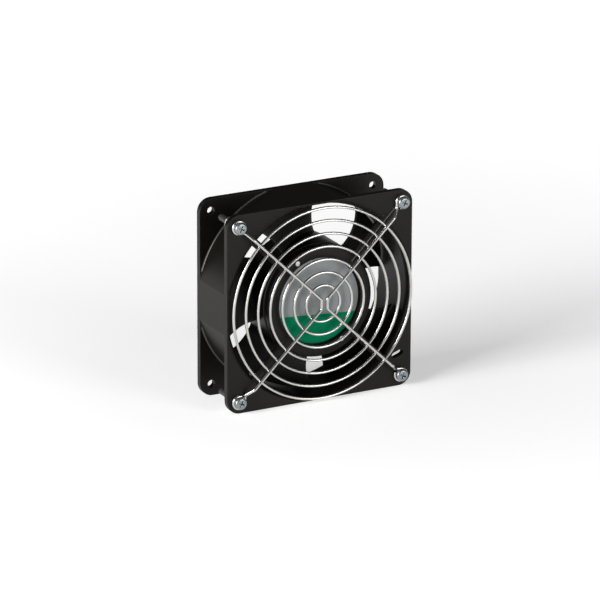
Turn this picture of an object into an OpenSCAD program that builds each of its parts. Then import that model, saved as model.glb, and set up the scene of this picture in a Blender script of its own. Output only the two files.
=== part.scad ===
// Compact axial fan, 120 mm class, with a wire finger guard on its hub side.
// Every piece is drawn as seen from the guard side: x to the right, y up, z from the rear
// mounting face towards the viewer. upright() then stands the fan on its edge, so the rear
// mounting face lies at Y = 0, the guard faces -Y and +Z is up. Lengths are in millimetres.

/* [Frame] */
// Width and height of the two square flanges
frame_w = 119; // [108:0.5:130]
// Depth from the front flange's face to the rear mounting face
frame_depth = 38; // [36:1:60]
// Thickness of each flange
flange_t = 3.6; // [3:0.1:5]
// Radius of the flange corners
flange_corner_r = 8; // [5:0.5:11]
// Distance of the corner holes from the two nearest sides
hole_inset = 7.1; // [6.8:0.1:7.6]
// Diameter of the four bolt holes in the rear flange
hole_d = 4.5; // [4.3:0.1:5.2]
// Diameter of the four guard screw holes in the front flange
guard_hole_d = 4.1; // [4.1:0.1:4.8]
// Wall between the duct's straight bore and a side of the frame
bore_edge = 1.9; // [1.5:0.1:3]
// Wall of the round duct, cut away where it meets the four flats
duct_wall = 3.1; // [2:0.1:3.6]
// Least wall left between a flared mouth and a flat
flat_wall = 1.1; // [0.8:0.1:1.4]
// How far the front mouth flares beyond the bore
front_flare = 3.2; // [1:0.1:4]
// How deep the front flare reaches
front_flare_depth = 4.2; // [2:0.1:6]
// How far the rear mouth flares beyond the bore
rear_flare = 2.2; // [1:0.1:3]
// How deep the rear flare reaches
rear_flare_depth = 3; // [2:0.1:5]
// Length of the slot hole in the front flange
slot_l = 7.6; // [5:0.1:9]
// Width of the slot hole
slot_w = 3.4; // [2:0.1:4]
// Where the slot hole lies, as a share of the way from the front mouth to a corner hole
slot_share = 0.286; // [0.26:0.01:0.4]
// Direction of the slot hole from the axis, in degrees
slot_turn = -38.2; // [-42:0.1:-34]
// Tilt of the slot hole, in degrees
slot_tilt = 20; // [0:1:45]

/* [Motor hub] */
// How much less the stationary hub's radius is than the impeller's
hub_step = 0.4; // [0.2:0.1:2]
// Thickness of the hub plate
hub_t = 4.4; // [4:0.1:6]
// Rounding of the hub's front edge
hub_edge_r = 1.2; // [0.6:0.1:1.6]
// Width of the rim around the label's recess
label_rim = 7; // [6.6:0.1:9]
// Depth of the recess
label_recess_depth = 2; // [1:0.1:2.4]
// Play around the label in its recess
label_play = 0.8; // [0.3:0.1:1.2]
// Thickness of the label
label_t = 0.2; // [0.1:0.05:0.4]
// Distance of the two hub screws from the hub's edge
hub_screw_inset = 4.8; // [3.4:0.1:4.9]
// Direction of the first hub screw from the axis, in degrees
hub_screw_turn = 120; // [100:1:150]
// Head diameter of the hub screws
hub_screw_head_d = 3; // [2:0.1:3.2]
// Shank diameter of the hub screws
hub_screw_d = 1.8; // [1.2:0.1:2]

/* [Struts] */
// Width of the strut that carries the motor lead
lead_strut_w = 6.7; // [4.5:0.1:10]
// Width of the three plain struts
strut_w = 4.4; // [3:0.1:9]
// Depth of all struts
strut_t = 3.4; // [3:0.1:4.2]
// Bevel of the struts' front edges
strut_bevel = 0.6; // [0.3:0.1:1.2]
// Diameter of the motor lead
lead_d = 1.5; // [1:0.1:1.8]
// Play around the lead in its channel
lead_play = 0.2; // [0.1:0.05:0.4]
// How far the lead's top lies below the front face
lead_sink = 0.3; // [0.1:0.1:0.8]
// How far the lead runs beside the strut's middle line
lead_offset = 0.3; // [0:0.1:0.8]

/* [Impeller] */
// Number of blades
blade_count = 5; // [3:1:7]
// Direction of the first blade's middle at its root, in degrees
blade_turn = 24.5; // [0:0.1:72]
// Outer diameter of the impeller's hub
rotor_d = 67.6; // [66.5:0.1:68]
// Play between the blade tips and the duct
tip_play = 0.8; // [0.6:0.1:2]
// Gap between the stationary hub and the impeller
rotor_gap = 0.7; // [0.4:0.1:1.2]
// How far the impeller's hub stays behind the rear mounting face
rotor_setback = 3.7; // [3:0.1:8]
// Length that a blade wraps along the hub at its root
blade_wrap_root = 32.6; // [15:0.1:36]
// Length that a blade wraps along the duct at its tip
blade_wrap_tip = 54.2; // [25:0.1:62]
// How much shorter than their mean the wrap is half way out
blade_wrap_waist = 5.3; // [0:0.1:8]
// Bow of the blade across its chord
blade_bow = 0.1; // [0:0.05:0.5]
// How far the tip is swept forwards, in degrees
blade_sweep = 5.3; // [-10:0.1:12]
// Depth of a blade's front edge behind the front face, at its root
blade_front_root = 12.2; // [9:0.1:14]
// Depth of a blade's front edge behind the front face, at its tip
blade_front_tip = 15; // [9:0.1:16]
// Depth of a blade's rear edge before the rear face, at its root
blade_rear_root = 6.3; // [5:0.1:11]
// Depth of a blade's rear edge before the rear face, at its tip
blade_rear_tip = 4.4; // [3:0.1:12]
// Greatest thickness of a blade
blade_t = 2.2; // [1.6:0.1:3]
// Thickness of a blade's edges
blade_edge_t = 0.9; // [0.6:0.1:1.2]
// Wall of the impeller's hub
impeller_wall = 2; // [1.4:0.1:2.4]
// Rounding of the impeller hub's rear edge
impeller_edge_r = 2.6; // [1:0.1:3]

/* [Motor] */
// Wall of the steel rotor cup
cup_wall = 1.4; // [1:0.1:1.8]
// Shaft diameter
shaft_d = 5; // [4:0.1:6]
// Running clearance around the shaft
shaft_play = 0.03; // [0.02:0.01:0.06]
// Outer diameter of the bearing tube
tube_d = 14; // [13:0.1:16]
// Wall of the bearing tube, around the two bearings
tube_wall = 1.5; // [1:0.1:2]
// Length of each bearing
bearing_l = 6; // [4:0.1:6.5]
// Gap between the windings and what lies before and behind them
winding_gap = 2.2; // [1:0.1:3]
// Wall of the stator core around the bearing tube
yoke_wall = 1; // [0.8:0.1:1.5]
// Air gap between the core and the rotor cage
air_gap = 0.5; // [0.3:0.05:0.8]
// Radial thickness of the rotor cage
cage_t = 6.9; // [4:0.1:8]
// Diameter of the boss that holds the shaft
boss_d = 16; // [10:0.1:18]
// Width of a pole neck
pole_w = 9; // [6:0.1:10]
// Thickness of a winding around its pole
coil_t = 4; // [2:0.1:4.4]
// Wall of the insulating bobbins
bobbin_wall = 0.8; // [0.5:0.1:1]
// Thickness of one thrust washer
thrust_t = 0.5; // [0.3:0.1:0.7]
// Thickness of the retaining clip
clip_t = 0.6; // [0.4:0.1:0.8]

/* [Finger guard] */
// Number of wire rings
ring_count = 7; // [4:1:7]
// Radius of the innermost ring, to the middle of its wire
ring_inner_r = 10.85; // [9:0.05:12]
// How far the outermost ring's wire middle stays inside the bore
ring_margin = 0.37; // [0.1:0.01:2]
// Wire diameter of the rings
ring_wire_d = 1.6; // [1.2:0.1:1.8]
// Wire diameter of the two spokes
spoke_wire_d = 1.9; // [1.6:0.1:2.1]
// Height of the rings' wire above the front face
ring_h = 3.7; // [3.2:0.1:6]
// How deep ring and spoke wires are welded into each other
weld_sink = 0.15; // [0.1:0.05:0.3]
// Half the distance between the two spokes at the middle
spoke_half_gap = 1.9; // [1.6:0.1:3]
// Length of each spoke's straight middle
spoke_middle_l = 5.8; // [4:0.1:8]
// Distance before its screw at which a spoke starts to slope to the flange
slope_run = 10.7; // [10:0.1:12]
// Radius of an eyelet, to the middle of its wire
eyelet_r = 3.55; // [3.3:0.05:4]
// How far round its screw an eyelet runs, in degrees
eyelet_turn = 292; // [240:1:300]
// Bend radius of the spokes
bend_r = 2.2; // [1.6:0.1:2.4]

/* [Fasteners] */
// Shank diameter of the guard screws
screw_d = 3.9; // [3.5:0.1:4]
// Length of the guard screws under the head
screw_l = 22.8; // [18:0.2:22.8]
// Head diameter of the guard screws
screw_head_d = 7.4; // [7:0.1:8]
// Head height of the guard screws
screw_head_h = 2.6; // [2:0.1:3]
// Width of a nut across its flats
nut_af = 7; // [6.5:0.1:8]
// Height of a nut
nut_h = 4.6; // [3.2:0.1:5]
// Diameter of a plain washer
washer_d = 8.6; // [8:0.1:9]
// Thickness of a plain washer
washer_t = 0.8; // [0.5:0.1:1]
// Diameter of a spring washer
spring_washer_d = 7; // [6.4:0.1:7.6]
// Thickness of a spring washer
spring_washer_t = 1; // [0.7:0.1:1.2]
// Play of nuts and washers on the screw
thread_play = 0.02; // [0.01:0.01:0.1]

/* [Hidden] */
$fn = 96;

// A cut runs this far past the solid that it cuts
overrun = 1;
// A straight wire piece enters a bend this far, and is this much thinner than the bend
seam = 0.05;
seam_step = 0.02;

bore_r = frame_w / 2 - bore_edge;
duct_r = bore_r + duct_wall;
corner_r = (frame_w / 2 - hole_inset) * sqrt(2);
slot_r = bore_r + front_flare + slot_share * (corner_r - bore_r - front_flare);
corner_turns = [45, 135, 225, 315];
tip_r = bore_r - tip_play;
hub_rear = frame_depth - hub_t;
rotor_r = rotor_d / 2;
hub_r = rotor_r - hub_step;
label_recess_r = hub_r - label_rim;
hub_screw_r = hub_r - hub_screw_inset;
rotor_front = hub_rear - rotor_gap;
label_floor = frame_depth - label_recess_depth;

// Stands the drawing upright, the viewer's side facing -Y
module upright() {
    rotate([90, 0, 0]) children();
}

// Repeats a piece at the four corner screws, turned so that local +x points outwards
module at_corners() {
    for (a = corner_turns) rotate(a) translate([corner_r, 0, 0]) children();
}

// Square plate outline with round corners
module rounded_square(w, r) {
    square([w, w - 2 * r], center = true);
    square([w - 2 * r, w], center = true);
    for (x = [-1, 1], y = [-1, 1]) translate([x * (w / 2 - r), y * (w / 2 - r)]) circle(r);
}

// Flat ring between two radii
module ring(r_out, r_in, h) {
    difference() {
        cylinder(r = r_out, h = h);
        translate([0, 0, -overrun]) cylinder(r = r_in, h = h + 2 * overrun);
    }
}

// Outline of the air path: the straight bore with its two flared mouths
flare_steps = 8;
function flare_arc(grow, depth) = [
    for (i = [0 : flare_steps])
        let (a = 90 * i / flare_steps)
        [bore_r + grow * (1 - sin(a)), depth * (1 - cos(a))]
];
module air_path() {
    mouth = frame_w - 2 * flat_wall;
    rear = flare_arc(rear_flare, rear_flare_depth);
    front = flare_arc(front_flare, front_flare_depth);
    intersection() {
        rotate_extrude($fn = 180) polygon(concat(
            [[0, -overrun], [bore_r + rear_flare, -overrun]],
            rear,
            [for (i = [flare_steps : -1 : 0]) [front[i].x, frame_depth - front[i].y]],
            [[bore_r + front_flare, frame_depth + overrun], [0, frame_depth + overrun]]
        ));
        translate([0, 0, frame_depth / 2])
            cube([mouth, mouth, frame_depth + 4 * overrun], center = true);
    }
}

// Lead channel, along the diagonal to the upper right
channel_w = lead_d + 2 * lead_play;
lead_axis = frame_depth - lead_sink - lead_d / 2;
lead_end_r = corner_r - eyelet_r;
lead_start_r = hub_r - hub_t;
module lead_channel() {
    rotate(45) translate([lead_start_r, lead_offset - channel_w / 2, lead_axis - channel_w / 2])
        cube([lead_end_r + lead_play - lead_start_r, channel_w, frame_depth]);
}

// Strut from the hub's rim to the flange along local +x, its front edges bevelled
strut_start_r = hub_r - hub_edge_r * 2;
strut_end_r = bore_r + front_flare + hub_edge_r;
module strut(w) {
    side = w / 2;
    low = frame_depth - strut_t;
    bevel = strut_bevel;
    translate([strut_start_r, 0, 0]) rotate([90, 0, 90]) linear_extrude(strut_end_r - strut_start_r)
        polygon([
            [-side, low], [side, low], [side, frame_depth - bevel], [side - bevel, frame_depth],
            [bevel - side, frame_depth], [-side, frame_depth - bevel]
        ]);
}

hub_screw_recess = hub_screw_d / 2;
module at_hub_screws() {
    for (a = [0, 180]) rotate(hub_screw_turn + a) translate([hub_screw_r, 0, 0]) children();
}

module hub_plate() {
    e = hub_edge_r;
    translate([0, 0, hub_rear]) rotate_extrude() union() {
        square([hub_r, hub_t - e]);
        square([hub_r - e, hub_t]);
        translate([hub_r - e, hub_t - e]) circle(e);
    }
}

module housing() {
    color("#2b2a28") upright() difference() {
        union() {
            difference() {
                union() {
                    linear_extrude(flange_t) rounded_square(frame_w, flange_corner_r);
                    translate([0, 0, frame_depth - flange_t])
                        linear_extrude(flange_t) rounded_square(frame_w, flange_corner_r);
                    linear_extrude(frame_depth) intersection() {
                        circle(duct_r, $fn = 180);
                        square(frame_w, center = true);
                    }
                }
                air_path();
            }
            rotate(45) strut(lead_strut_w);
            for (a = [135, 225, 315]) rotate(a) strut(strut_w);
            hub_plate();
        }
        translate([0, 0, label_floor]) cylinder(r = label_recess_r, h = hub_t);
        translate([0, 0, hub_rear - overrun]) cylinder(d = tube_d, h = hub_t + overrun);
        at_hub_screws() {
            translate([0, 0, frame_depth - hub_screw_recess])
                cylinder(d = hub_screw_head_d, h = hub_t);
            translate([0, 0, hub_rear - overrun]) cylinder(d = hub_screw_d, h = hub_t + overrun);
        }
        lead_channel();
        at_corners() {
            translate([0, 0, -overrun]) cylinder(d = hole_d, h = flange_t + 2 * overrun);
            translate([0, 0, frame_depth - flange_t - overrun])
                cylinder(d = guard_hole_d, h = flange_t + 2 * overrun);
        }
        rotate(slot_turn) translate([slot_r, 0, frame_depth - flange_t - overrun])
            rotate(slot_tilt - slot_turn) linear_extrude(flange_t + 2 * overrun) {
                square([slot_l - slot_w, slot_w], center = true);
                for (x = [-1, 1]) translate([x * (slot_l - slot_w) / 2, 0]) circle(d = slot_w);
            }
    }
}

// Heights inside the motor, counted from the rear mounting face
cup_rear = rotor_setback + impeller_wall;
cup_floor = cup_rear + cup_wall;
boss_front = cup_floor + bearing_l * 0.75;
tube_rear = boss_front + 2 * thrust_t;
tube_r = tube_d / 2;
bearing_r = tube_r - tube_wall;
front_bearing_front = label_floor - 2 * clip_t;
rear_bearing_front = tube_rear + bearing_l;
cup_out = rotor_r - impeller_wall;
cup_in = cup_out - cup_wall;
cage_in = cup_in - cage_t;
core_r = cage_in - air_gap;
core_rear = tube_rear + winding_gap + bobbin_wall + coil_t / 2;
core_t = hub_rear + tube_rear - 2 * core_rear;
yoke_r = tube_r + yoke_wall;
shoe_t = (core_r - yoke_r) * 0.16;
pole_turns = [0, 90, 180, 270];

module bearing_tube() {
    color("goldenrod") upright() translate([0, 0, tube_rear])
        ring(tube_r, bearing_r, label_floor - tube_rear);
}

module sleeve_bearing(front) {
    translate([0, 0, front - bearing_l]) ring(bearing_r, shaft_d / 2 + shaft_play, bearing_l);
}

module bearing_front() {
    color("peru") upright() sleeve_bearing(front_bearing_front);
}

module bearing_rear() {
    color("peru") upright() sleeve_bearing(rear_bearing_front);
}

module oil_felt() {
    h = front_bearing_front - bearing_l - rear_bearing_front;
    color("tan") upright() translate([0, 0, rear_bearing_front])
        ring(bearing_r, shaft_d / 2 + clip_t, h);
}

// Pole neck with its bobbin and winding, along local +x
neck_end = core_r - shoe_t;
module neck_block(grow, start, end) {
    translate([start, -pole_w / 2 - grow, core_rear - grow])
        cube([end - start, pole_w + 2 * grow, core_t + 2 * grow]);
}

module stator_core() {
    color("slategray") upright() difference() {
        union() {
            translate([0, 0, core_rear]) cylinder(r = yoke_r, h = core_t);
            for (a = pole_turns) rotate(a) neck_block(0, 0, core_r * 0.9);
            intersection() {
                translate([0, 0, core_rear]) ring(core_r, neck_end, core_t);
                for (a = pole_turns) rotate(a)
                    translate([0, -core_r * 0.55, 0]) cube([core_r * 2, core_r * 1.1, frame_depth]);
            }
        }
        translate([0, 0, core_rear - overrun]) cylinder(r = tube_r, h = core_t + 2 * overrun);
    }
}

coil_half = pole_w / 2 + bobbin_wall + coil_t / 2;
coil_start = max(coil_half, yoke_r) + bobbin_wall;
coil_end = sqrt(neck_end * neck_end - coil_half * coil_half) - air_gap / 2;
module coil_bobbins() {
    color("ivory") upright() for (a = pole_turns) rotate(a) difference() {
        neck_block(bobbin_wall, coil_start, coil_end);
        neck_block(0, coil_start - overrun, coil_end + overrun);
    }
}

module stator_coils() {
    color("chocolate") upright() for (a = pole_turns) rotate(a) difference() {
        neck_block(bobbin_wall + coil_t / 2, coil_start, coil_end);
        neck_block(bobbin_wall, coil_start - overrun, coil_end + overrun);
    }
}

module hub_label() {
    color("silver") upright() translate([0, 0, label_floor])
        cylinder(r = label_recess_r - label_play, h = label_t);
}

module hub_screws() {
    color("lightgray") upright() at_hub_screws() {
        translate([0, 0, frame_depth - hub_screw_recess])
            cylinder(d = hub_screw_head_d, h = hub_screw_recess - label_t);
        translate([0, 0, hub_rear]) cylinder(d = hub_screw_d, h = hub_t - hub_screw_recess);
    }
}

module motor_lead() {
    color("gainsboro") upright() rotate(45)
        translate([lead_start_r + lead_play, lead_offset, lead_axis]) rotate([0, 90, 0])
            cylinder(d = lead_d, h = lead_end_r - lead_start_r - lead_play);
}

// Round wire through a list of points, each corner bent to bend_r
function unit(v) = v / norm(v);
function corner_angle(u, v) = acos(max(-1, min(1, u * v)));
module wire(points, d) {
    n = len(points);
    dirs = [for (i = [0 : n - 2]) unit(points[i + 1] - points[i])];
    trims = [
        for (i = [0 : n - 1])
            i == 0 || i == n - 1 ? 0 : bend_r * tan(corner_angle(dirs[i - 1], dirs[i]) / 2)
    ];
    for (i = [0 : n - 2]) {
        u = dirs[i];
        start = points[i] + u * (trims[i] - seam);
        l = norm(points[i + 1] - points[i]) - trims[i] - trims[i + 1] + 2 * seam;
        translate(start) rotate([0, acos(u.z), atan2(u.y, u.x)])
            cylinder(d = d - seam_step, h = l, $fn = 24);
    }
    for (i = [1 : n - 2]) {
        u = dirs[i - 1];
        v = dirs[i];
        turn = corner_angle(u, v);
        w = unit(v - u * cos(turn));
        c = points[i] - u * trims[i] + w * bend_r;
        k = cross(u, w);
        multmatrix([
            [-w.x, u.x, k.x, c.x],
            [-w.y, u.y, k.y, c.y],
            [-w.z, u.z, k.z, c.z],
            [0, 0, 0, 1]
        ]) rotate_extrude(angle = turn) translate([bend_r, 0]) circle(d = d, $fn = 24);
    }
}

ring_z = frame_depth + ring_h;
ring_step = (bore_r - ring_margin - ring_inner_r) / (ring_count - 1);
slope_start_r = corner_r - slope_run;
spoke_z = ring_z + (ring_wire_d + spoke_wire_d) / 2 - weld_sink;
eyelet_z = frame_depth + spoke_wire_d / 2;
slope_end_r = corner_r - eyelet_r * sqrt(2);

// Point at a distance from the axis in a direction, at a height
function polar(r, a, z) = [r * cos(a), r * sin(a), z];

// One spoke: eyelet, slope up from the flange, bend past the middle, and down to the other eyelet
module guard_spoke(side, top, bottom) {
    x = side * spoke_half_gap;
    y = spoke_middle_l / 2;
    wire([
        polar(corner_r, top, eyelet_z) + polar(eyelet_r, top + 135, 0),
        polar(slope_end_r, top, eyelet_z),
        polar(slope_start_r, top, spoke_z),
        [x, y, spoke_z],
        [x, -y, spoke_z],
        polar(slope_start_r, bottom, spoke_z),
        polar(slope_end_r, bottom, eyelet_z),
        polar(corner_r, bottom, eyelet_z) + polar(eyelet_r, bottom + 135, 0)
    ], spoke_wire_d);
    for (a = [top, bottom]) rotate(a) translate([corner_r, 0, eyelet_z])
        rotate(135 - eyelet_turn) rotate_extrude(angle = eyelet_turn)
            translate([eyelet_r, 0]) circle(d = spoke_wire_d, $fn = 24);
}

module guard_rings() {
    color("silver") upright() translate([0, 0, ring_z])
        for (i = [0 : ring_count - 1]) rotate_extrude()
            translate([ring_inner_r + i * ring_step, 0]) circle(d = ring_wire_d, $fn = 24);
}

module guard_spoke_left() {
    color("silver") upright() guard_spoke(-1, corner_turns[1], corner_turns[2]);
}

module guard_spoke_right() {
    color("silver") upright() guard_spoke(1, corner_turns[0], corner_turns[3]);
}

screw_seat = frame_depth + spoke_wire_d;
head_round = screw_head_h * 0.55;
module guard_screws() {
    color("lightsteelblue") upright() at_corners() difference() {
        union() {
            translate([0, 0, screw_seat]) rotate_extrude() union() {
                square([screw_head_d / 2, screw_head_h - head_round]);
                square([screw_head_d / 2 - head_round, screw_head_h]);
                translate([screw_head_d / 2 - head_round, screw_head_h - head_round])
                    circle(head_round, $fn = 48);
            }
            translate([0, 0, screw_seat - screw_l]) cylinder(d = screw_d, h = screw_l);
        }
        for (a = [0, 90]) rotate(a + 20)
            translate([-screw_d / 2, -screw_d / 10, screw_seat + screw_head_h / 3])
                cube([screw_d, screw_d / 5, screw_head_h]);
    }
}

washer_seat = frame_depth - flange_t;
thread_r = screw_d / 2 + thread_play;
module guard_washers() {
    color("silver") upright() at_corners() translate([0, 0, washer_seat - washer_t])
        ring(washer_d / 2, thread_r, washer_t);
}

module spring_washers() {
    color("gray") upright() at_corners()
        translate([0, 0, washer_seat - washer_t - spring_washer_t])
            ring(spring_washer_d / 2, thread_r, spring_washer_t);
}

module guard_nuts() {
    tip = nut_af / sqrt(3);
    cone = (tip - nut_af / 2) * 0.6;
    color("silver") upright() at_corners()
        translate([0, 0, washer_seat - washer_t - spring_washer_t - nut_h]) difference() {
            intersection() {
                cylinder(r = tip, h = nut_h, $fn = 6);
                rotate_extrude() polygon([
                    [0, 0], [nut_af / 2, 0], [tip, cone], [tip, nut_h - cone],
                    [nut_af / 2, nut_h], [0, nut_h]
                ]);
            }
            translate([0, 0, -overrun]) cylinder(r = thread_r, h = nut_h + 2 * overrun);
        }
}

// One blade as a skin between its two faces. Station s runs from root to tip, q from the
// front edge to the rear edge; both run from 0 to 1.
root_r = rotor_r - impeller_wall / 2;
span_steps = 7;
chord_steps = 10;
// Share of the sweep that comes early, near the root
sweep_share = 0.55;
function mix(a, b, t) = a + (b - a) * t;
function span_share(r) = (r - rotor_r) / (tip_r - rotor_r);
function blade_wrap(s) = mix(blade_wrap_root, blade_wrap_tip, s) - blade_wrap_waist * 4 * s * (1 - s);
function blade_angle(s, r, q) =
    let (u = q - 0.5)
    blade_turn + blade_sweep * mix(s, sqrt(max(0, s)), sweep_share) - blade_wrap(s) * (u + blade_bow * (u * u - 0.25)) / r * 180 / PI;
function blade_height(s, q) = mix(
    frame_depth - mix(blade_front_root, blade_front_tip, s),
    mix(blade_rear_root, blade_rear_tip, s),
    q
);
function blade_half(q) = mix(blade_edge_t, blade_t, sqrt(max(0, 4 * q * (1 - q)))) / 2;
function blade_point(r, q, side) =
    let (
        s = span_share(r),
        l = blade_height(s, 0) - blade_height(s, 1),
        w = blade_wrap(s) * (1 + 2 * blade_bow * (q - 0.5)),
        n = [-l, w] / norm([l, w]),
        h = side * blade_half(q),
        a = blade_angle(s, r, q) + h * n[0] / r * 180 / PI
    )
    [r * cos(a), r * sin(a), blade_height(s, q) + h * n[1]];

module blade() {
    row = chord_steps + 1;
    face = (span_steps + 1) * row;
    pts = [
        for (side = [-1, 1], i = [0 : span_steps], j = [0 : chord_steps])
            blade_point(mix(root_r, tip_r, i / span_steps), j / chord_steps, side)
    ];
    quads = concat(
        [for (i = [0 : span_steps - 1], j = [0 : chord_steps - 1])
            [i * row + j, i * row + j + 1, (i + 1) * row + j + 1, (i + 1) * row + j]],
        [for (i = [0 : span_steps - 1], j = [0 : chord_steps - 1])
            [face + (i + 1) * row + j, face + (i + 1) * row + j + 1, face + i * row + j + 1, face + i * row + j]],
        [for (i = [0 : span_steps - 1])
            [i * row, (i + 1) * row, face + (i + 1) * row, face + i * row]],
        [for (i = [0 : span_steps - 1])
            [face + i * row + chord_steps, face + (i + 1) * row + chord_steps, (i + 1) * row + chord_steps, i * row + chord_steps]],
        [for (j = [0 : chord_steps - 1])
            [j + 1, j, face + j, face + j + 1]],
        [for (j = [0 : chord_steps - 1])
            [span_steps * row + j, span_steps * row + j + 1, face + span_steps * row + j + 1, face + span_steps * row + j]]
    );
    polyhedron(pts, [for (f = quads) for (t = [[f[0], f[1], f[2]], [f[0], f[2], f[3]]]) t], convexity = 4);
}

module impeller() {
    e = impeller_edge_r;
    color("#1d1d1f") upright() union() {
        difference() {
            translate([0, 0, rotor_setback]) rotate_extrude() union() {
                translate([0, e]) square([rotor_r, rotor_front - rotor_setback - e]);
                square([rotor_r - e, rotor_front - rotor_setback]);
                translate([rotor_r - e, e]) circle(e);
            }
            translate([0, 0, cup_rear]) cylinder(r = cup_out, h = frame_depth);
        }
        for (i = [0 : blade_count - 1]) rotate(i * 360 / blade_count) blade();
    }
}

module rotor_cup() {
    color("dimgray") upright() difference() {
        translate([0, 0, cup_rear]) cylinder(r = cup_out, h = rotor_front - cup_rear);
        translate([0, 0, cup_floor]) cylinder(r = cup_in, h = frame_depth);
        translate([0, 0, cup_rear - overrun]) cylinder(d = shaft_d, h = cup_wall + 2 * overrun);
    }
}

module rotor_cage() {
    color("gray") upright() translate([0, 0, core_rear - bobbin_wall])
        ring(cup_in, cage_in, core_t + 2 * bobbin_wall);
}

module rotor_boss() {
    color("darkgray") upright() translate([0, 0, cup_floor])
        ring(boss_d / 2, shaft_d / 2, boss_front - cup_floor);
}

module shaft() {
    color("lightgray") upright() translate([0, 0, cup_rear])
        cylinder(d = shaft_d, h = label_floor - clip_t / 2 - cup_rear);
}

module retaining_clip() {
    color("gray") upright() translate([0, 0, front_bearing_front + shaft_play])
        ring(bearing_r - clip_t, shaft_d / 2, clip_t);
}

module thrust_washers() {
    color("ivory") upright() translate([0, 0, boss_front])
        ring(bearing_r - clip_t, shaft_d / 2, 2 * thrust_t - shaft_play);
}

housing();
bearing_tube();
bearing_front();
bearing_rear();
oil_felt();
stator_core();
coil_bobbins();
stator_coils();
hub_label();
hub_screws();
motor_lead();
guard_rings();
guard_spoke_left();
guard_spoke_right();
guard_screws();
guard_washers();
spring_washers();
guard_nuts();
impeller();
rotor_cup();
rotor_cage();
rotor_boss();
shaft();
retaining_clip();
thrust_washers();
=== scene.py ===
"""Compact axial fan with a wire finger guard, finished to look like the one in the photograph.

Sizes are in millimetres as the maker would give them and are turned into metres by stand(),
which also stands the fan on its edge: x to the right, y up, z from the rear face to the guard.
"""

import math

import bmesh
import bpy
from mathutils import Matrix, Vector


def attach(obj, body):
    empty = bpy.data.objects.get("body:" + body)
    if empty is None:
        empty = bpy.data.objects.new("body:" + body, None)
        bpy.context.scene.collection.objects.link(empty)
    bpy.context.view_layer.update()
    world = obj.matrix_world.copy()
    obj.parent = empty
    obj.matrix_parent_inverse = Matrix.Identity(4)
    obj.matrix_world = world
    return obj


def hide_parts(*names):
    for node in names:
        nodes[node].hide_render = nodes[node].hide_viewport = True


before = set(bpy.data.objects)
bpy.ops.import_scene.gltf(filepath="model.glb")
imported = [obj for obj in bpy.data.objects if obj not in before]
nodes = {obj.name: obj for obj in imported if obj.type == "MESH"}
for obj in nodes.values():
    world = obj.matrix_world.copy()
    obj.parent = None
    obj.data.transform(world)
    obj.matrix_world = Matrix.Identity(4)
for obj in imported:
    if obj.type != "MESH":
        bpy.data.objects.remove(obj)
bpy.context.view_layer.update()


# Camera. A long lens 2.9 m away, to the left of the fan and above it. Its direction, distance
# and lens were fitted to the photograph; its place is given from the middle of the front face.
camera_turn = math.radians(27.704)
camera_rise = math.radians(19.024)
camera_roll = math.radians(0.184)
camera_place = Vector((-11.476, 0.842, 2873.499))
front_face = 38.0
back = Vector((
    -math.sin(camera_turn) * math.cos(camera_rise),
    -math.cos(camera_turn) * math.cos(camera_rise),
    math.sin(camera_rise),
))
level = Vector((math.cos(camera_turn), -math.sin(camera_turn), 0.0))
upward = back.cross(level)
right = math.cos(camera_roll) * level + math.sin(camera_roll) * upward
over = math.cos(camera_roll) * upward - math.sin(camera_roll) * level
eye = right * camera_place.x + over * camera_place.y + back * camera_place.z
eye.y -= front_face
camera = bpy.data.objects.new("camera", bpy.data.cameras.new("camera"))
bpy.context.scene.collection.objects.link(camera)
camera.matrix_world = Matrix.Translation(eye * 0.001) @ Matrix((right, over, back)).transposed().to_4x4()
camera.data.sensor_width = 36.0
camera.data.lens = 301.74
camera.data.clip_start = 0.05
camera.data.clip_end = 60.0
bpy.context.scene.camera = camera
bpy.context.scene.view_settings.view_transform = "Standard"


# Studio. A white table under the fan, one large soft lamp to its left, a weaker one in front
# and dim walls, so that the black paint stays dark and its left faces catch the light. The table
# glows by itself, less near the fan, so that the soft shadow stays.
table_height = -0.05955
table_half = 6.0
glow_near = (0.12, 0.46)
glow_far = (0.9, 1.0)
wall_light = 0.05
table_mesh = bpy.data.meshes.new("table")
table_mesh.from_pydata(
    [(x * table_half, y * table_half, table_height) for x, y in ((-1, -1), (1, -1), (1, 1), (-1, 1))],
    [],
    [(0, 1, 2, 3)],
)
table = bpy.data.objects.new("table", table_mesh)
bpy.context.scene.collection.objects.link(table)
table_paint = bpy.data.materials.new("table_paint")
table_paint.use_nodes = True
table_tree = table_paint.node_tree
table_shader = table_tree.nodes["Principled BSDF"]
table_shader.inputs["Base Color"].default_value = (0.9, 0.9, 0.9, 1.0)
table_shader.inputs["Roughness"].default_value = 0.9
table_shader.inputs["Specular IOR Level"].default_value = 0.1
table_shader.inputs["Emission Color"].default_value = (1.0, 1.0, 1.0, 1.0)
away = table_tree.nodes.new("ShaderNodeVectorMath")
away.operation = "LENGTH"
table_tree.links.new(table_tree.nodes.new("ShaderNodeTexCoord").outputs["Object"], away.inputs[0])
glow = table_tree.nodes.new("ShaderNodeMapRange")
glow.inputs["From Min"].default_value, glow.inputs["To Min"].default_value = glow_near
glow.inputs["From Max"].default_value, glow.inputs["To Max"].default_value = glow_far
table_tree.links.new(away.outputs["Value"], glow.inputs["Value"])
table_tree.links.new(glow.outputs["Result"], table_shader.inputs["Emission Strength"])
table_mesh.materials.append(table_paint)

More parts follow.
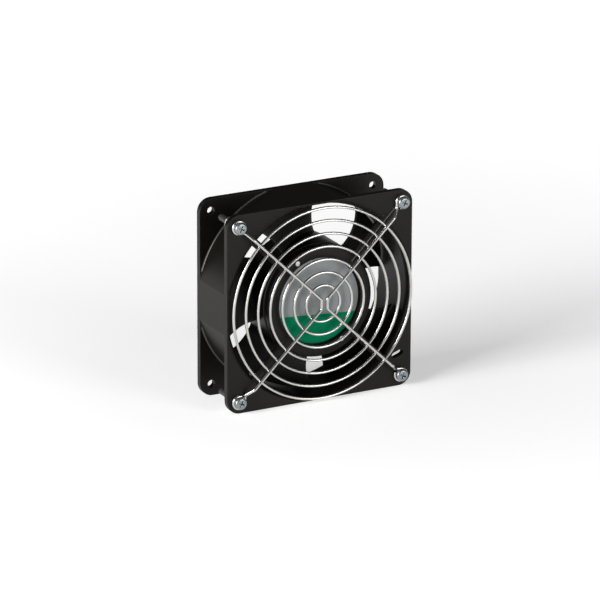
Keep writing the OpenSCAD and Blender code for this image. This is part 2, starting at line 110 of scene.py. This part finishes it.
room = bpy.data.worlds.new("room")
bpy.context.scene.world = room
room.use_nodes = True
room_nodes = room.node_tree.nodes
room_links = room.node_tree.links
walls = room_nodes["Background"]
walls.inputs["Color"].default_value = (1.0, 1.0, 1.0, 1.0)
walls.inputs["Strength"].default_value = wall_light
backdrop = room_nodes.new("ShaderNodeBackground")
backdrop.inputs["Color"].default_value = (1.0, 1.0, 1.0, 1.0)
backdrop.inputs["Strength"].default_value = 1.0
seen = room_nodes.new("ShaderNodeLightPath")
choose = room_nodes.new("ShaderNodeMixShader")
room_links.new(seen.outputs["Is Camera Ray"], choose.inputs[0])
room_links.new(walls.outputs[0], choose.inputs[1])
room_links.new(backdrop.outputs[0], choose.inputs[2])
room_links.new(choose.outputs[0], room_nodes["World Output"].inputs["Surface"])


def soft_lamp(name, place, size, power):
    """A square soft lamp at a place, aimed at the fan."""
    light = bpy.data.lights.new(name, "AREA")
    light.shape = "SQUARE"
    light.size = size
    light.energy = power
    lamp = bpy.data.objects.new(name, light)
    bpy.context.scene.collection.objects.link(lamp)
    lamp.location = place
    lamp.rotation_mode = "QUATERNION"
    lamp.rotation_quaternion = (-Vector(place)).to_track_quat("-Z", "Y")


soft_lamp("left_lamp", place=(-1.75, -0.38, 0.55), size=0.9, power=46.0)
soft_lamp("front_lamp", place=(0.8, -1.8, 0.4), size=0.8, power=15.0)


# Housing. One aluminium die casting with flanges, round duct, struts and motor hub, sprayed
# with a thin satin black paint that has a fine grain, holds a little dust and is rubbed on its edges.
def stand(x, y, z):
    """A place on the fan, in millimetres as seen from the guard side, as a place in the scene."""
    return Vector((x, -z, y)) * 0.001


def socket_group(name, wants, gives):
    """An empty shader group with its named inputs (name, value) and outputs (name, kind)."""
    group = bpy.data.node_groups.new(name, "ShaderNodeTree")
    for label, value in wants:
        group.interface.new_socket(label, in_out="INPUT", socket_type="NodeSocketFloat").default_value = value
    for label, kind in gives:
        group.interface.new_socket(label, in_out="OUTPUT", socket_type="NodeSocket" + kind)
    return group, group.nodes.new("NodeGroupInput"), group.nodes.new("NodeGroupOutput")


def arithmetic(tree, operation, first, second=None, third=None, clamp=False):
    """A maths node in a tree; its values may be numbers or sockets."""
    node = tree.nodes.new("ShaderNodeMath")
    node.operation = operation
    node.use_clamp = clamp
    for slot, value in enumerate((first, second, third)):
        if value is None:
            continue
        if isinstance(value, (int, float)):
            node.inputs[slot].default_value = value
        else:
            tree.links.new(value, node.inputs[slot])
    return node.outputs[0]


def speckle(tree, scale, detail=3.0, roughness=0.55):
    """Noise over the surface at that many spots per metre, from 0 to 1."""
    noise = tree.nodes.new("ShaderNodeTexNoise")
    noise.inputs["Detail"].default_value = detail
    noise.inputs["Roughness"].default_value = roughness
    if isinstance(scale, (int, float)):
        noise.inputs["Scale"].default_value = scale
    else:
        tree.links.new(scale, noise.inputs["Scale"])
    tree.links.new(tree.nodes.new("ShaderNodeTexCoord").outputs["Object"], noise.inputs["Vector"])
    return noise.outputs["Fac"]


# Fine grain: tone and height from a small and a large noise
patch_scale = 60.0
grain_share = 0.3
grain_base = 0.35
grain_group, grain_in, grain_out = socket_group(
    "fine_grain", [("Spots per metre", 2500.0), ("Patches", 0.3)], [("Tone", "Float"), ("Height", "Float")]
)
small = speckle(grain_group, grain_in.outputs["Spots per metre"], 4.0, 0.6)
large = speckle(grain_group, patch_scale, 3.0, 0.5)
uneven = arithmetic(grain_group, "SUBTRACT", large, 0.5)
patchy = arithmetic(grain_group, "MULTIPLY", uneven, grain_in.outputs["Patches"])
grainy = arithmetic(grain_group, "MULTIPLY_ADD", small, grain_share, grain_base)
toned = arithmetic(grain_group, "ADD", grainy, patchy, clamp=True)
grain_group.links.new(toned, grain_out.inputs["Tone"])
grain_group.links.new(small, grain_out.inputs["Height"])

# Rounded edges: the bevelled normal, and a mask of the rubbed arrises
edge_radius = 0.00045
rub_gain = 6.0
rub_scale = 900.0
edge_group, edge_in, edge_out = socket_group(
    "rounded_edges", [("Rub", 0.5)], [("Normal", "Vector"), ("Mask", "Float")]
)
rounder = edge_group.nodes.new("ShaderNodeBevel")
rounder.samples = 6
rounder.inputs["Radius"].default_value = edge_radius
flat = edge_group.nodes.new("ShaderNodeNewGeometry")
facing = edge_group.nodes.new("ShaderNodeVectorMath")
facing.operation = "DOT_PRODUCT"
edge_group.links.new(rounder.outputs[0], facing.inputs[0])
edge_group.links.new(flat.outputs["True Normal"], facing.inputs[1])
turned = arithmetic(edge_group, "SUBTRACT", 1.0, facing.outputs["Value"])
worn_edge = arithmetic(edge_group, "MULTIPLY", turned, rub_gain)
rough_rub = arithmetic(edge_group, "MULTIPLY", worn_edge, speckle(edge_group, rub_scale))
rubbed = arithmetic(edge_group, "MULTIPLY", rough_rub, edge_in.outputs["Rub"], clamp=True)
edge_group.links.new(rubbed, edge_out.inputs["Mask"])
edge_group.links.new(rounder.outputs[0], edge_out.inputs["Normal"])


def finish(
    name, dark, light, rough, metal=0.0, spots=2500.0, patches=0.3, relief=0.06, rub=0.0, worn=None, gloss=0.5
):
    """A material whose colour runs from dark to light with its grain, with rounded and rubbed edges.

    rough is (least, most); relief is the grain's height in millimetres; worn is the rubbed colour.
    """
    made = bpy.data.materials.new(name)
    made.use_nodes = True
    tree = made.node_tree
    shader = tree.nodes["Principled BSDF"]
    shader.inputs["Metallic"].default_value = metal
    shader.inputs["Specular IOR Level"].default_value = gloss
    grain = tree.nodes.new("ShaderNodeGroup")
    grain.node_tree = grain_group
    grain.inputs["Spots per metre"].default_value = spots
    grain.inputs["Patches"].default_value = patches
    edges = tree.nodes.new("ShaderNodeGroup")
    edges.node_tree = edge_group
    edges.inputs["Rub"].default_value = rub
    tone = tree.nodes.new("ShaderNodeMix")
    tone.data_type = "RGBA"
    tone.inputs["A"].default_value = (*dark, 1.0)
    tone.inputs["B"].default_value = (*light, 1.0)
    tree.links.new(grain.outputs["Tone"], tone.inputs["Factor"])
    colour = tone.outputs["Result"]
    if worn is not None:
        bare = tree.nodes.new("ShaderNodeMix")
        bare.data_type = "RGBA"
        bare.inputs["B"].default_value = (*worn, 1.0)
        tree.links.new(edges.outputs["Mask"], bare.inputs["Factor"])
        tree.links.new(colour, bare.inputs["A"])
        colour = bare.outputs["Result"]
    tree.links.new(colour, shader.inputs["Base Color"])
    spread = tree.nodes.new("ShaderNodeMapRange")
    spread.inputs["To Min"].default_value, spread.inputs["To Max"].default_value = rough
    tree.links.new(grain.outputs["Tone"], spread.inputs["Value"])
    tree.links.new(spread.outputs["Result"], shader.inputs["Roughness"])
    bump = tree.nodes.new("ShaderNodeBump")
    bump.inputs["Distance"].default_value = relief * 0.001
    bump.inputs["Strength"].default_value = 1.0
    tree.links.new(grain.outputs["Height"], bump.inputs["Height"])
    tree.links.new(edges.outputs["Normal"], bump.inputs["Normal"])
    tree.links.new(bump.outputs["Normal"], shader.inputs["Normal"])
    return made


def dress(node, material, crease=28.0):
    """Gives a carried-over CAD node its material, smooth where faces meet by less than crease degrees."""
    part = nodes[node]
    for slot in part.material_slots:
        slot.material = material
    weld = part.modifiers.new("joined", "WELD")
    weld.merge_threshold = 1e-6
    fine = part.modifiers.new("smooth", "EDGE_SPLIT")
    fine.split_angle = math.radians(crease)
    part.data.shade_smooth()


casting_paint = finish(
    "casting_paint", (0.0024, 0.0020, 0.0014), (0.0070, 0.0058, 0.0042), (0.34, 0.50),
    spots=1700.0, patches=0.5, relief=0.035, rub=0.55, worn=(0.045, 0.040, 0.033), gloss=0.18,
)
dress("housing", casting_paint, crease=10.0)


def piece(name, mesh, body, material, soft_angle=35.0):
    """Turns a bmesh into an object that rides on a body, with smooth faces and crisp arrises."""
    bmesh.ops.recalc_face_normals(mesh, faces=mesh.faces)
    data = bpy.data.meshes.new(name)
    mesh.to_mesh(data)
    mesh.free()
    data.materials.append(material)
    data.shade_smooth()
    data.set_sharp_from_angle(angle=math.radians(soft_angle))
    made = bpy.data.objects.new(name, data)
    bpy.context.scene.collection.objects.link(made)
    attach(made, body)
    return made


def stand_polar(radius, angle, height, centre=(0.0, 0.0)):
    """A place given by its radius and angle in radians about a centre, as a place in the scene."""
    return stand(centre[0] + radius * math.cos(angle), centre[1] + radius * math.sin(angle), height)


# Fillets between duct and flanges, wherever a flange reaches past the duct
duct_radius = 60.7
duct_fillet = 0.9
duct_flange = 3.6
side_wall = 59.5
fillet_steps = 5
fillet_sink_side = 0.05
fillet_sink_foot = 0.02
fillets = bmesh.new()
for foot, rise in ((duct_flange, 1), (front_face - duct_flange, -1)):
    last = None
    for k in range(361):
        angle = math.radians(k)
        reach = side_wall / max(abs(math.cos(angle)), abs(math.sin(angle)))
        now = None
        if reach > duct_radius + duct_fillet:
            now = []
            for j in range(fillet_steps + 1):
                bend = math.radians(90 / fillet_steps * j)
                radius = duct_radius - fillet_sink_side + duct_fillet * (1 - math.cos(bend))
                height = foot + rise * (duct_fillet * (1 - math.sin(bend)) - fillet_sink_foot)
                now.append(fillets.verts.new(stand_polar(radius, angle, height)))
        if last and now:
            for j in range(fillet_steps):
                fillets.faces.new((last[j], last[j + 1], now[j + 1], now[j]))
        last = now
# The fillets' paint is much lighter than the casting's paint: a painted highlight along the lit fillets, with
# its grain.
fillet_highlight_paint = finish(
    "fillet_highlight_paint", (0.016, 0.015, 0.013), (0.045, 0.042, 0.038), (0.28, 0.45),
    spots=1700.0, patches=1.0, relief=0.03,
)
duct_fillets = piece("duct_fillets", fillets, "frame", fillet_highlight_paint)


# Hub label. A round foil label in the hub's recess, silver above and green below a slanting
# line. Its print names things, so the foil is left bare, with only its fine brushing and creases.
label_line_height = -8.3
label_line_slope = -0.071
label_line_gain = 9.0
label_metal = 0.3
label_foil = finish(
    "label_foil", (0.19, 0.205, 0.21), (0.33, 0.345, 0.35), (0.42, 0.58),
    metal=label_metal, spots=700.0, patches=0.8, relief=0.02, gloss=0.04,
)
foil = label_foil.node_tree
foil_shader = foil.nodes["Principled BSDF"]
silver = foil_shader.inputs["Base Color"].links[0].from_socket
where = foil.nodes.new("ShaderNodeSeparateXYZ")
foil.links.new(foil.nodes.new("ShaderNodeTexCoord").outputs["Object"], where.inputs[0])
tilted = arithmetic(foil, "MULTIPLY_ADD", where.outputs["X"], -label_line_slope, where.outputs["Z"])
above = arithmetic(
    foil, "MULTIPLY_ADD", tilted, label_line_gain * 1000, -label_line_height * label_line_gain, clamp=True
)
green_ink = foil.nodes.new("ShaderNodeMix")
green_ink.data_type = "RGBA"
green_ink.inputs["A"].default_value = (0.0, 0.165, 0.072, 1.0)
green_ink.inputs["B"].default_value = (0.0, 0.215, 0.098, 1.0)
foil.links.new(speckle(foil, 240.0), green_ink.inputs["Factor"])
inked = foil.nodes.new("ShaderNodeMix")
inked.data_type = "RGBA"
foil.links.new(above, inked.inputs["Factor"])
foil.links.new(green_ink.outputs["Result"], inked.inputs["A"])
foil.links.new(silver, inked.inputs["B"])
foil.links.new(inked.outputs["Result"], foil_shader.inputs["Base Color"])
foil.links.new(arithmetic(foil, "MULTIPLY", above, label_metal), foil_shader.inputs["Metallic"])
dress("hub_label", label_foil)


# Hub screws. Two small plated steel screws, turned down into bores in the hub's rim, that hold
# the stator from the front.
# Their plating is painted lighter and less metallic than plated steel, to show as bright as their glint:
# partly their own colour, partly a painted highlight.
hub_screw_plate_and_glint = finish(
    "hub_screw_plate_and_glint", (0.66, 0.66, 0.65), (0.88, 0.88, 0.86), (0.30, 0.45), metal=0.5, relief=0.01,
)
dress("hub_screws", hub_screw_plate_and_glint)


# Motor lead. A thin lead in a light grey sleeve, laid into the channel of the upper right strut
# and held there by the guard's hook at its outer end. The sleeve's light grey is as bright as the
# highlight along its lit side: a painted highlight spread over the whole sleeve.
lead_sleeve = finish(
    "lead_sleeve", (0.10, 0.10, 0.095), (0.17, 0.17, 0.16), (0.4, 0.6), spots=1800.0, relief=0.03, gloss=0.4,
)
dress("motor_lead", lead_sleeve)


# Impeller. One black nylon moulding: a hub ring closed at the rear, with five wide blades that
# wrap clockwise as they go back, each with rounded edges and a small fillet at its root. The
# blades follow the CAD model's, with finer steps.
hub_radius = 33.8
hub_wall = 2.0
hub_rear = 3.7
hub_front = 32.9
hub_round = 2.6
hub_steps = 120
hub_round_steps = 8
gate_radius = 5.5
gate_depth = 0.3
groove_inner = 24.5
groove_outer = 28.5
groove_depth = 0.4
step_slope = 0.5
lip_bevel = 0.4
blade_count = 5
blade_turn = 24.5
tip_radius = 56.8
wrap_root = 32.6
wrap_tip = 54.2
wrap_waist = 5.3
blade_bow = 0.1
blade_sweep = 5.3
sweep_share = 0.55
front_root = 12.2
front_tip = 15.0
rear_root = 6.3
rear_tip = 4.4
blade_edge = 0.9
blade_middle = 2.2
root_swell = 0.9
root_fade = 0.8
span_steps = 22
chord_steps = 30


def between(a, b, t):
    """The value a share t of the way from a to b."""
    return a + (b - a) * t


def blade_point(radius, q, side, turn):
    """A place on one face of a blade, at a radius and a share q of the way from front to rear."""
    share = (radius - hub_radius) / (tip_radius - hub_radius)
    wrap = between(wrap_root, wrap_tip, share) - wrap_waist * 4 * share * (1 - share)
    sweep = blade_sweep * between(share, math.sqrt(max(0.0, share)), sweep_share)
    front = front_face - between(front_root, front_tip, share)
    rear = between(rear_root, rear_tip, share)
    fillet = 1.0 + root_swell * math.exp(-max(0.0, radius - hub_radius) / root_fade)
    u = q - 0.5
    thick = between(blade_edge, blade_middle, math.sqrt(max(0.0, 4 * q * (1 - q)))) / 2 * fillet
    length = front - rear
    slope = wrap * (1 + 2 * blade_bow * u)
    across = math.hypot(length, slope)
    shift = side * thick
    angle = blade_turn + sweep - math.degrees(wrap * (u + blade_bow * (u * u - 0.25)) / radius)
    angle = math.radians(angle + turn - math.degrees(shift * length / across / radius))
    return stand_polar(radius, angle, between(front, rear, q) + shift * slope / across)


def blade_skin(mesh, turn):
    """Adds one blade to a bmesh, its two faces joined along all four edges."""
    sides = []
    for side in (-1, 1):
        rows = []
        for i in range(span_steps + 1):
            radius = between(hub_radius - hub_wall / 2, tip_radius, i / span_steps)
            shares = [0.5 - 0.5 * math.cos(math.pi * j / chord_steps) for j in range(chord_steps + 1)]
            rows.append([mesh.verts.new(blade_point(radius, q, side, turn)) for q in shares])
        sides.append(rows)
    low, high = sides
    for i in range(span_steps):
        for j in range(chord_steps):
            mesh.faces.new((low[i][j], low[i][j + 1], low[i + 1][j + 1], low[i + 1][j]))
            mesh.faces.new((high[i + 1][j], high[i + 1][j + 1], high[i][j + 1], high[i][j]))
        for j in (0, chord_steps):
            mesh.faces.new((low[i][j], low[i + 1][j], high[i + 1][j], high[i][j]))
    for j in range(chord_steps):
        for i in (0, span_steps):
            mesh.faces.new((low[i][j + 1], low[i][j], high[i][j], high[i][j + 1]))


def turned_piece(mesh, outline, steps):
    """Adds a body turned about the fan's axis from a closed outline of (radius, height)."""
    rings = []
    for radius, height in outline:
        if radius < 1e-6:
            rings.append([mesh.verts.new(stand(0, 0, height))] * steps)
            continue
        rings.append([
            mesh.verts.new(stand_polar(radius, 2 * math.pi * k / steps, height)) for k in range(steps)
        ])
    for a, b in zip(rings, rings[1:]):
        for k in range(steps):
            corners = []
            for vert in (a[k], a[(k + 1) % steps], b[(k + 1) % steps], b[k]):
                if vert not in corners:
                    corners.append(vert)
            if len(corners) > 2:
                mesh.faces.new(corners)


closed_end = [
    (0, hub_rear + gate_depth),
    (gate_radius, hub_rear + gate_depth),
    (gate_radius + step_slope, hub_rear),
    (groove_inner, hub_rear),
    (groove_inner + step_slope, hub_rear + groove_depth),
    (groove_outer - step_slope, hub_rear + groove_depth),
    (groove_outer, hub_rear),
]
rear_round = [
    (hub_radius - hub_round * (1 - math.sin(a)), hub_rear + hub_round * (1 - math.cos(a)))
    for a in (math.radians(90 * k / hub_round_steps) for k in range(hub_round_steps + 1))
]
open_end = [
    (hub_radius, hub_front - lip_bevel),
    (hub_radius - lip_bevel, hub_front),
    (hub_radius - hub_wall, hub_front),
    (hub_radius - hub_wall, hub_rear + hub_wall),
    (0, hub_rear + hub_wall),
]
moulding = bmesh.new()
turned_piece(moulding, closed_end + rear_round + open_end, hub_steps)
for k in range(blade_count):
    blade_skin(moulding, 360 * k / blade_count)
black_nylon = finish(
    "black_nylon", (0.0028, 0.0026, 0.0024), (0.0065, 0.0060, 0.0054), (0.36, 0.5),
    spots=1200.0, patches=0.6, relief=0.02, rub=0.3, worn=(0.02, 0.019, 0.017), gloss=0.28,
)
impeller_moulding = piece("impeller_moulding", moulding, "rotor", black_nylon, soft_angle=30.0)
soft_edges = impeller_moulding.modifiers.new("rounded_edges", "BEVEL")
soft_edges.width = 0.0003
soft_edges.segments = 2
soft_edges.limit_method = "ANGLE"
soft_edges.angle_limit = math.radians(50)
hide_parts("impeller")


# Motor. Behind the hub plate a steel cup in the impeller carries the cage, boss and shaft; the
# stator core with its bobbins and windings sits on the brass bearing tube. Only slits show it.
motor_steel = finish(
    "motor_steel", (0.20, 0.20, 0.20), (0.36, 0.36, 0.35), (0.3, 0.5), metal=0.9, spots=900.0, relief=0.02,
)
core_stack = finish(
    "core_stack", (0.16, 0.16, 0.17), (0.30, 0.30, 0.30), (0.35, 0.55), metal=0.85, spots=2200.0, relief=0.05,
)
sintered_bronze = finish(
    "sintered_bronze", (0.24, 0.15, 0.07), (0.42, 0.28, 0.13), (0.4, 0.6),
    metal=0.85, spots=3000.0, relief=0.03,
)
winding_wire = finish(
    "winding_wire", (0.22, 0.06, 0.02), (0.45, 0.15, 0.05), (0.25, 0.45), metal=0.6, spots=1500.0, relief=0.1,
)
bobbin_nylon = finish(
    "bobbin_nylon", (0.55, 0.53, 0.45), (0.70, 0.68, 0.60), (0.4, 0.55), spots=1200.0, relief=0.02,
)
oiled_felt = finish(
    "oiled_felt", (0.22, 0.18, 0.11), (0.42, 0.36, 0.25), (0.8, 0.95), spots=4000.0, relief=0.15, gloss=0.2,
)
for material, dressed in (
    (motor_steel, ("rotor_cup", "rotor_boss", "shaft", "retaining_clip")),
    (core_stack, ("stator_core", "rotor_cage")),
    (sintered_bronze, ("bearing_tube", "bearing_front", "bearing_rear")),
    (bobbin_nylon, ("coil_bobbins", "thrust_washers")),
    (winding_wire, ("stator_coils",)),
    (oiled_felt, ("oil_felt",)),
):
    for node in dressed:
        dress(node, material)


# Finger guard. Seven rings of bright plated steel wire, spot welded behind two bent spoke wires
# whose ends are hooked round the corner screws. Each weld leaves a small squeezed bead.
ring_radii = [10.85 + 7.73 * k for k in range(7)]
ring_height = front_face + 3.7
ring_wire = 1.6
spoke_bend = (1.9, 2.9)
spoke_reach = 63.4
bead_radius = 1.02
bead_half_height = 0.42
bead_sink = 0.1
bead_lump = 0.12
guard_plate = finish(
    "guard_plate", (0.42, 0.415, 0.40), (0.66, 0.655, 0.63), (0.14, 0.27),
    metal=0.95, spots=1600.0, patches=1.0, relief=0.012,
)
for node in ("guard_rings", "guard_spoke_left", "guard_spoke_right"):
    dress(node, guard_plate)
beads = bmesh.new()
for side_x in (-1, 1):
    for side_y in (-1, 1):
        inner = Vector((side_x * spoke_bend[0], side_y * spoke_bend[1]))
        outer = Vector((side_x, side_y)) * spoke_reach / math.sqrt(2)
        along = (outer - inner).normalized()
        lead_in = inner.dot(along)
        for radius in ring_radii:
            reach = -lead_in + math.sqrt(lead_in * lead_in - inner.dot(inner) + radius * radius)
            spot = inner + along * reach
            for vert in bmesh.ops.create_icosphere(beads, subdivisions=2, radius=1.0)["verts"]:
                waves = math.sin(5.1 * vert.co.x + 3.7 * vert.co.y + radius)
                waves *= math.cos(4.3 * vert.co.z + side_x)
                lumpy = 1.0 + bead_lump * waves
                vert.co = stand(
                    spot.x + vert.co.x * bead_radius * lumpy,
                    spot.y + vert.co.y * bead_radius * lumpy,
                    ring_height + ring_wire / 2 - bead_sink + vert.co.z * bead_half_height * lumpy,
                )
weld_beads = piece("weld_beads", beads, "frame", guard_plate)


# Guard fasteners. Blue zinc pan-head screws through the guard's hooks; behind the front flange
# each has a flat washer, a split spring washer and a nut, and its thread sticks out.
corner = 52.4
screw_tip = 17.1
nut_rear = 28.0
thread_pitch = 0.7
thread_root = 1.965
thread_depth = 0.14
thread_point = 0.25
thread_overlap = 0.03
thread_steps = 24
thread_rows = 60
blue_zinc = finish(
    "blue_zinc", (0.17, 0.197, 0.208), (0.32, 0.353, 0.362), (0.22, 0.42),
    metal=0.8, spots=1900.0, patches=0.8, relief=0.02,
)
bright_zinc = finish(
    "bright_zinc", (0.50, 0.50, 0.47), (0.74, 0.74, 0.70), (0.24, 0.42), metal=0.9, spots=1500.0, relief=0.02,
)
dress("guard_screws", blue_zinc)
dress("guard_washers", bright_zinc)
dress("guard_nuts", bright_zinc)
corners = [(side_x * corner, side_y * corner) for side_x in (-1, 1) for side_y in (-1, 1)]
threads = bmesh.new()
for centre in corners:
    rows = [[threads.verts.new(stand(*centre, screw_tip - thread_overlap))] * thread_steps]
    for j in range(thread_rows + 1):
        along = (nut_rear - screw_tip) * j / thread_rows
        row = []
        for k in range(thread_steps):
            wave = (along / thread_pitch + k / thread_steps) % 1.0
            crest = 1.0 - abs(2.0 * wave - 1.0)
            radius = min(thread_root + thread_depth * crest, thread_root + thread_point * along)
            angle = 2 * math.pi * k / thread_steps
            place = stand_polar(radius, angle, screw_tip - thread_overlap + along, centre)
            row.append(threads.verts.new(place))
        rows.append(row)
    for a, b in zip(rows, rows[1:]):
        for k in range(thread_steps):
            m = (k + 1) % thread_steps
            threads.faces.new((a[k], a[m], b[m], b[k]) if a[k] is not a[m] else (a[k], b[m], b[k]))
# The thread is painted far darker than the screws' blue zinc: painted shade between the flanges.
thread_steel_painted_shade = finish(
    "thread_steel_painted_shade", (0.035, 0.037, 0.039), (0.11, 0.114, 0.118), (0.35, 0.55),
    metal=0.7, spots=1500.0, patches=1.0, relief=0.02,
)
screw_threads = piece("screw_threads", threads, "frame", thread_steel_painted_shade, soft_angle=60.0)

# Split spring washers: one turn of a square section from end to end, the ends a little apart
flat_washer = 0.8
spring_washer = 1.0
spring_section = [(2.0, 0.05), (3.45, 0.05), (3.5, 0.1), (3.5, 0.9), (3.45, 0.95), (2.0, 0.95)]
split_from = 50
split_to = 400
split_lift = 0.04
washer_steps = 60
washer_rear = front_face - duct_flange - flat_washer - spring_washer
split_washers = bmesh.new()
for centre in corners:
    last = None
    for k in range(washer_steps + 1):
        share = k / washer_steps
        angle = math.radians(between(split_from, split_to, share))
        height = washer_rear + between(-split_lift, split_lift, share)
        now = [
            split_washers.verts.new(stand_polar(r, angle, height + h, centre)) for r, h in spring_section
        ]
        if last:
            for i in range(len(now)):
                m = (i + 1) % len(now)
                split_washers.faces.new((last[i], last[m], now[m], now[i]))
        else:
            split_washers.faces.new(now)
        last = now
    split_washers.faces.new(last[::-1])
spring_steel = finish(
    "spring_steel", (0.30, 0.30, 0.30), (0.48, 0.48, 0.47), (0.28, 0.45), metal=0.9, spots=1800.0, relief=0.02,
)
split_spring_washers = piece("split_spring_washers", split_washers, "frame", spring_steel)
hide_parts("spring_washers")
